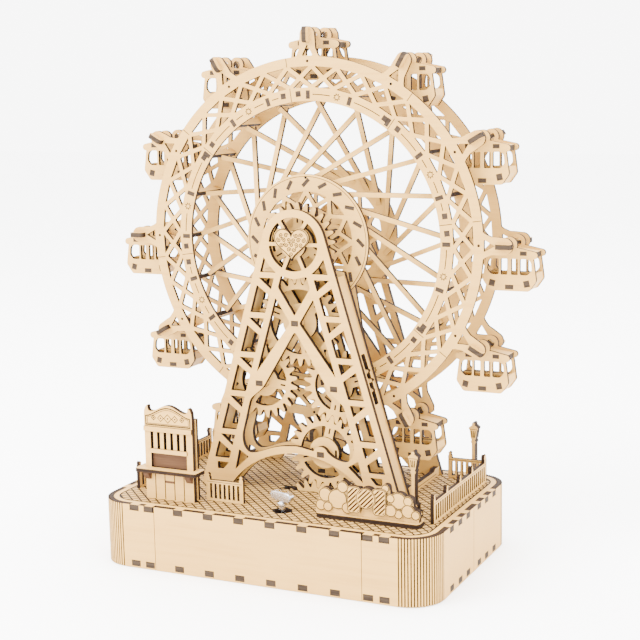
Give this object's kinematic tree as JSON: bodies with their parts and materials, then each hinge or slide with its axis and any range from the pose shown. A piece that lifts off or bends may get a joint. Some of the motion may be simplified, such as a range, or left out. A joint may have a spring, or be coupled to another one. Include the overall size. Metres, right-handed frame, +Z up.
{
  "type": "wooden ferris wheel music box",
  "caption": "Laser-cut plywood ferris wheel model with an open gear train, hanging gondolas, a fenced deck and a wind-up music movement in its box-shaped base.",
  "frame": {"origin": "centre of the base's underside, on the surface that it stands on", "axes": "+X to the right along the front, +Y to the back along the wheel's axle, +Z up"},
  "size_m": [0.249, 0.125, 0.2843],
  "materials": {
    "birch_ply": "fine sanded birch plywood",
    "gear_ply": "fine sanded birch plywood",
    "burnt_edge": "laser-burnt plywood edge",
    "engraved_deck": "engraved birch plywood",
    "plated_steel": "bright plating",
    "brass": "satin brass"
  },
  "bodies": {
    "tower": {"base_back_panel": "birch_ply", "base_bottom": "birch_ply", "base_corner_back_left": "birch_ply", "base_corner_back_right": "birch_ply", "base_corner_front_left": "birch_ply", "base_corner_front_right": "birch_ply", "base_deck": "birch_ply", "base_front_panel": "birch_ply", "bush_board": "birch_ply", "fence_left": "birch_ply", "fence_left_rear": "birch_ply", "fence_right": "birch_ply", "fence_right_rear": "birch_ply", "fence_small": "birch_ply", "foot_rail_left": "engraved_deck", "foot_rail_right": "engraved_deck", "gear_axle_left": "burnt_edge", "gear_axle_lower": "burnt_edge", "gear_axle_right": "burnt_edge", "gear_axle_upper": "burnt_edge", "governor_frame": "plated_steel", "heart_plaque": "burnt_edge", "lamp_front": "birch_ply", "lamp_rear": "birch_ply", "movement_bedplate": "plated_steel", "spring_housing": "brass", "ticket_booth": "birch_ply", "tone_comb": "plated_steel", "tower_front_plate": "birch_ply", "tower_inner_plate": "birch_ply", "tower_rear_plate": "birch_ply", "tower_side_left": "birch_ply", "tower_side_right": "birch_ply"},
    "wheel": {"wheel_axle": "burnt_edge", "gear_wheel": "gear_ply", "hub_front": "birch_ply", "hub_rear": "birch_ply", "rim_front": "birch_ply", "rim_rear": "birch_ply"},
    "upper_gear": {"gear_upper": "gear_ply"},
    "left_gear": {"gear_left": "gear_ply"},
    "right_gear": {"gear_right": "gear_ply"},
    "lower_gear": {"gear_lower": "gear_ply"},
    "cylinder": {"tune_cylinder": "brass", "gear_drum": "gear_ply"},
    "winder": {"winding_arbor": "plated_steel", "winding_key": "plated_steel"},
    "fan": {"governor_fan": "brass"},
    "gondola_01": {"gondola_01": "birch_ply"},
    "gondola_02": {"gondola_02": "birch_ply"},
    "gondola_03": {"gondola_03": "birch_ply"},
    "gondola_04": {"gondola_04": "birch_ply"},
    "gondola_05": {"gondola_05": "birch_ply"},
    "gondola_06": {"gondola_06": "birch_ply"},
    "gondola_07": {"gondola_07": "birch_ply"},
    "gondola_08": {"gondola_08": "birch_ply"},
    "gondola_09": {"gondola_09": "birch_ply"},
    "gondola_10": {"gondola_10": "birch_ply"},
    "gondola_11": {"gondola_11": "birch_ply"},
    "gondola_12": {"gondola_12": "birch_ply"}
  },
  "joints": [
    {"name": "wheel_spin", "type": "hinge", "parent": "tower", "child": "wheel", "pos_m": [0, 0.0275, 0.171], "axis": [0, 1, 0], "continuous": true},
    {"name": "upper_gear_spin", "type": "hinge", "parent": "tower", "child": "upper_gear", "pos_m": [0, -0.003, 0.1286], "axis": [0, 1, 0], "continuous": true},
    {"name": "left_gear_spin", "type": "hinge", "parent": "tower", "child": "left_gear", "pos_m": [-0.02228, -0.003, 0.09442], "axis": [0, 1, 0], "continuous": true},
    {"name": "right_gear_spin", "type": "hinge", "parent": "tower", "child": "right_gear", "pos_m": [0.02228, -0.003, 0.09442], "axis": [0, 1, 0], "continuous": true},
    {"name": "lower_gear_spin", "type": "hinge", "parent": "tower", "child": "lower_gear", "pos_m": [0.01382, -0.003, 0.05779], "axis": [0, 1, 0], "continuous": true},
    {"name": "cylinder_spin", "type": "hinge", "parent": "tower", "child": "cylinder", "pos_m": [0.00602, -0.003, 0.02346], "axis": [0, 1, 0], "continuous": true},
    {"name": "fan_spin", "type": "hinge", "parent": "tower", "child": "fan", "pos_m": [-0.00653, -0.0213, 0.0143], "axis": [0, 0, 1], "continuous": true},
    {"name": "winding", "type": "hinge", "parent": "tower", "child": "winder", "pos_m": [0.0064, -0.0423, 0.0375], "axis": [0, 0, -1], "range_deg": [0, 1260]},
    {"name": "gondola_01_swing", "type": "hinge", "parent": "wheel", "child": "gondola_01", "pos_m": [0.1095, 0.0275, 0.171], "axis": [0, 1, 0], "continuous": true},
    {"name": "gondola_02_swing", "type": "hinge", "parent": "wheel", "child": "gondola_02", "pos_m": [0.09483, 0.0275, 0.22575], "axis": [0, 1, 0], "continuous": true},
    {"name": "gondola_03_swing", "type": "hinge", "parent": "wheel", "child": "gondola_03", "pos_m": [0.05475, 0.0275, 0.26583], "axis": [0, 1, 0], "continuous": true},
    {"name": "gondola_04_swing", "type": "hinge", "parent": "wheel", "child": "gondola_04", "pos_m": [0, 0.0275, 0.2805], "axis": [0, 1, 0], "continuous": true},
    {"name": "gondola_05_swing", "type": "hinge", "parent": "wheel", "child": "gondola_05", "pos_m": [-0.05475, 0.0275, 0.26583], "axis": [0, 1, 0], "continuous": true},
    {"name": "gondola_06_swing", "type": "hinge", "parent": "wheel", "child": "gondola_06", "pos_m": [-0.09483, 0.0275, 0.22575], "axis": [0, 1, 0], "continuous": true},
    {"name": "gondola_07_swing", "type": "hinge", "parent": "wheel", "child": "gondola_07", "pos_m": [-0.1095, 0.0275, 0.171], "axis": [0, 1, 0], "continuous": true},
    {"name": "gondola_08_swing", "type": "hinge", "parent": "wheel", "child": "gondola_08", "pos_m": [-0.09483, 0.0275, 0.11625], "axis": [0, 1, 0], "continuous": true},
    {"name": "gondola_09_swing", "type": "hinge", "parent": "wheel", "child": "gondola_09", "pos_m": [-0.05475, 0.0275, 0.07617], "axis": [0, 1, 0], "continuous": true},
    {"name": "gondola_10_swing", "type": "hinge", "parent": "wheel", "child": "gondola_10", "pos_m": [0, 0.0275, 0.0615], "axis": [0, 1, 0], "continuous": true},
    {"name": "gondola_11_swing", "type": "hinge", "parent": "wheel", "child": "gondola_11", "pos_m": [0.05475, 0.0275, 0.07617], "axis": [0, 1, 0], "continuous": true},
    {"name": "gondola_12_swing", "type": "hinge", "parent": "wheel", "child": "gondola_12", "pos_m": [0.09483, 0.0275, 0.11625], "axis": [0, 1, 0], "continuous": true}
  ],
  "couplings": [
    {"joint": "upper_gear_spin", "follows": "wheel_spin", "ratio": -0.89286},
    {"joint": "left_gear_spin", "follows": "wheel_spin", "ratio": 1.087},
    {"joint": "right_gear_spin", "follows": "wheel_spin", "ratio": 1.087},
    {"joint": "lower_gear_spin", "follows": "wheel_spin", "ratio": -1.0417},
    {"joint": "cylinder_spin", "follows": "wheel_spin", "ratio": 1.25},
    {"joint": "fan_spin", "follows": "wheel_spin", "ratio": 12.5},
    {"joint": "gondola_01_swing", "follows": "wheel_spin", "ratio": -1},
    {"joint": "gondola_02_swing", "follows": "wheel_spin", "ratio": -1},
    {"joint": "gondola_03_swing", "follows": "wheel_spin", "ratio": -1},
    {"joint": "gondola_04_swing", "follows": "wheel_spin", "ratio": -1},
    {"joint": "gondola_05_swing", "follows": "wheel_spin", "ratio": -1},
    {"joint": "gondola_06_swing", "follows": "wheel_spin", "ratio": -1},
    {"joint": "gondola_07_swing", "follows": "wheel_spin", "ratio": -1},
    {"joint": "gondola_08_swing", "follows": "wheel_spin", "ratio": -1},
    {"joint": "gondola_09_swing", "follows": "wheel_spin", "ratio": -1},
    {"joint": "gondola_10_swing", "follows": "wheel_spin", "ratio": -1},
    {"joint": "gondola_11_swing", "follows": "wheel_spin", "ratio": -1},
    {"joint": "gondola_12_swing", "follows": "wheel_spin", "ratio": -1}
  ]
}
